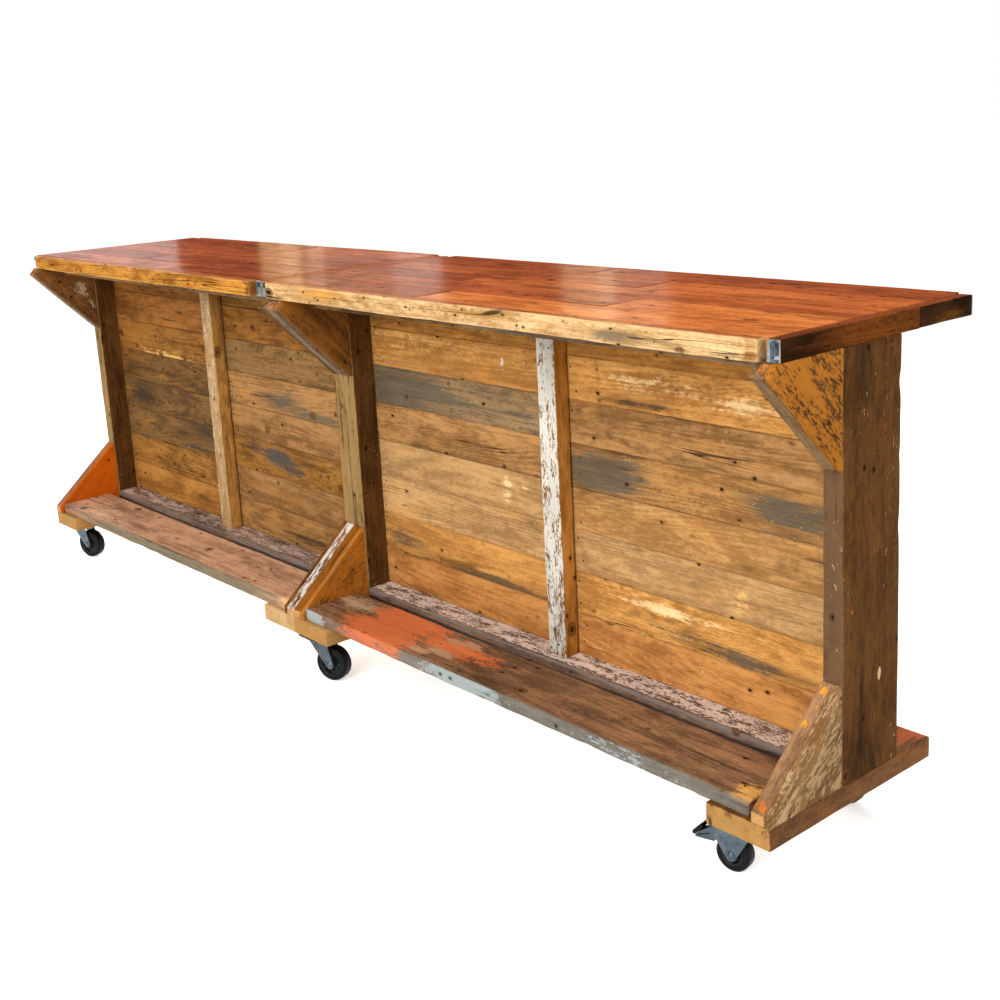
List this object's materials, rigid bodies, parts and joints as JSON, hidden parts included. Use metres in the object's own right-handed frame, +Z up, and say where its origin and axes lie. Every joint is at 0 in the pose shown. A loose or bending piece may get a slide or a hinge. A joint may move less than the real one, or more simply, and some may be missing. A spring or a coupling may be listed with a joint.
{
  "type": "front bar",
  "caption": "Portable standing bar of reclaimed boards in joined units, with a plank top, board wall, foot shelf and corner gussets, on swivel casters with brake levers.",
  "frame": {"origin": "middle of the floor area under the bar", "axes": "+X along the bar, -Y to the side where people stand, +Z up"},
  "size_m": [3.173, 0.664, 1.075],
  "materials": {
    "top_wood": "glossy varnish",
    "left_edge_wood": "worn varnish",
    "right_edge_wood": "worn, split",
    "end_edge_wood": "stained",
    "frame_wood": "weathered",
    "gusset_wood": "stained, mottled",
    "batten_wood": "weathered",
    "plank_wood": "reclaimed, mixed",
    "stud_wood": "peeling paint",
    "sill_wood": "weathered",
    "shelf_wood": "worn paint",
    "foot_wood": "sawn pine",
    "hidden_wood": "rough sawn",
    "zinc": "zinc plated",
    "wheel_core": "moulded",
    "tyre": "matt rubber"
  },
  "bodies": {
    "bar": {"left_top_boards": "top_wood", "right_top_boards": "top_wood", "left_front_edge": "left_edge_wood", "right_front_edge": "right_edge_wood", "left_end_edges": "end_edge_wood", "right_end_edges": "end_edge_wood", "back_edges": "end_edge_wood", "left_posts": "frame_wood", "right_posts": "frame_wood", "upper_gusset_plates": "gusset_wood", "lower_gusset_plates": "gusset_wood", "upper_gusset_battens": "batten_wood", "lower_gusset_battens": "batten_wood", "left_wall_planks": "plank_wood", "right_wall_planks": "plank_wood", "wall_studs": "stud_wood", "wall_sills": "sill_wood", "left_foot_shelf": "shelf_wood", "right_foot_shelf": "shelf_wood", "left_foot_beams": "foot_wood", "right_foot_beams": "foot_wood", "left_top_bearers": "hidden_wood", "right_top_bearers": "hidden_wood", "top_rails": "hidden_wood", "wall_cleats": "hidden_wood", "hook_plates": "zinc", "hook_rivets": "zinc", "keeper_plates": "zinc", "caster_plates": "zinc", "caster_screws": "zinc"},
    "joint_front_hook": {"joint_front_hook": "zinc"},
    "joint_back_hook": {"joint_back_hook": "zinc"},
    "end_front_hook": {"end_front_hook": "zinc"},
    "end_back_hook": {"end_back_hook": "zinc"},
    "left_front_fork": {"left_front_fork": "zinc", "left_front_axle": "zinc"},
    "left_front_wheel": {"left_front_wheel": "wheel_core", "left_front_tyre": "tyre"},
    "left_rear_fork": {"left_rear_fork": "zinc", "left_rear_axle": "zinc"},
    "left_rear_wheel": {"left_rear_wheel": "wheel_core", "left_rear_tyre": "tyre"},
    "middle_front_fork": {"middle_front_fork": "zinc", "middle_front_axle": "zinc"},
    "middle_front_wheel": {"middle_front_wheel": "wheel_core", "middle_front_tyre": "tyre"},
    "middle_rear_fork": {"middle_rear_fork": "zinc", "middle_rear_axle": "zinc"},
    "middle_rear_wheel": {"middle_rear_wheel": "wheel_core", "middle_rear_tyre": "tyre"},
    "right_front_fork": {"right_front_fork": "zinc", "right_front_axle": "zinc"},
    "right_front_wheel": {"right_front_wheel": "wheel_core", "right_front_tyre": "tyre"},
    "right_front_brake": {"right_front_brake": "zinc"},
    "right_rear_fork": {"right_rear_fork": "zinc", "right_rear_axle": "zinc"},
    "right_rear_wheel": {"right_rear_wheel": "wheel_core", "right_rear_tyre": "tyre"},
    "right_rear_brake": {"right_rear_brake": "zinc"}
  },
  "joints": [
    {"name": "joint_front_hook_swing", "type": "hinge", "parent": "bar", "child": "joint_front_hook", "pos_m": [-0.112, -0.2935, 1.066], "axis": [0, 1, 0], "range_deg": [0, 90]},
    {"name": "joint_back_hook_swing", "type": "hinge", "parent": "bar", "child": "joint_back_hook", "pos_m": [-0.112, 0.3165, 1.066], "axis": [0, 1, 0], "range_deg": [0, 90]},
    {"name": "end_front_hook_swing", "type": "hinge", "parent": "bar", "child": "end_front_hook", "pos_m": [1.576, -0.2935, 1.066], "axis": [0, 1, 0], "range_deg": [-90, 0]},
    {"name": "end_back_hook_swing", "type": "hinge", "parent": "bar", "child": "end_back_hook", "pos_m": [1.576, 0.3165, 1.066], "axis": [0, 1, 0], "range_deg": [-90, 0]},
    {"name": "left_front_swivel", "type": "hinge", "parent": "bar", "child": "left_front_fork", "pos_m": [-1.5405, -0.2635, 0.115], "axis": [0, 0, 1], "continuous": true},
    {"name": "left_front_spin", "type": "hinge", "parent": "left_front_fork", "child": "left_front_wheel", "pos_m": [-1.50689, -0.2506, 0.048], "axis": [-0.3584, 0.9336, 0], "continuous": true},
    {"name": "left_rear_swivel", "type": "hinge", "parent": "bar", "child": "left_rear_fork", "pos_m": [-1.5405, 0.1245, 0.115], "axis": [0, 0, 1], "continuous": true},
    {"name": "left_rear_spin", "type": "hinge", "parent": "left_rear_fork", "child": "left_rear_wheel", "pos_m": [-1.50871, 0.1414, 0.048], "axis": [-0.4695, 0.8829, 0], "continuous": true},
    {"name": "middle_front_swivel", "type": "hinge", "parent": "bar", "child": "middle_front_fork", "pos_m": [0.0325, -0.2865, 0.115], "axis": [0, 0, 1], "continuous": true},
    {"name": "middle_front_spin", "type": "hinge", "parent": "middle_front_fork", "child": "middle_front_wheel", "pos_m": [0.06611, -0.2736, 0.048], "axis": [-0.3584, 0.9336, 0], "continuous": true},
    {"name": "middle_rear_swivel", "type": "hinge", "parent": "bar", "child": "middle_rear_fork", "pos_m": [0.0325, 0.1475, 0.115], "axis": [0, 0, 1], "continuous": true},
    {"name": "middle_rear_spin", "type": "hinge", "parent": "middle_rear_fork", "child": "middle_rear_wheel", "pos_m": [0.06743, 0.15621, 0.048], "axis": [-0.2419, 0.9703, 0], "continuous": true},
    {"name": "right_front_swivel", "type": "hinge", "parent": "bar", "child": "right_front_fork", "pos_m": [1.4725, -0.2525, 0.115], "axis": [0, 0, 1], "continuous": true},
    {"name": "right_front_spin", "type": "hinge", "parent": "right_front_fork", "child": "right_front_wheel", "pos_m": [1.44296, -0.25771, 0.0375], "axis": [0.1736, -0.9848, 0], "continuous": true},
    {"name": "right_front_brake_tilt", "type": "hinge", "parent": "right_front_fork", "child": "right_front_brake", "pos_m": [1.41144, -0.26327, 0.082], "axis": [-0.1736, 0.9848, 0], "range_deg": [0, 20]},
    {"name": "right_rear_swivel", "type": "hinge", "parent": "bar", "child": "right_rear_fork", "pos_m": [1.4725, 0.1135, 0.115], "axis": [0, 0, 1], "continuous": true},
    {"name": "right_rear_spin", "type": "hinge", "parent": "right_rear_fork", "child": "right_rear_wheel", "pos_m": [1.4425, 0.1135, 0.0375], "axis": [0, -1, 0], "continuous": true},
    {"name": "right_rear_brake_tilt", "type": "hinge", "parent": "right_rear_fork", "child": "right_rear_brake", "pos_m": [1.4105, 0.1135, 0.082], "axis": [0, 1, 0], "range_deg": [0, 20]}
  ]
}
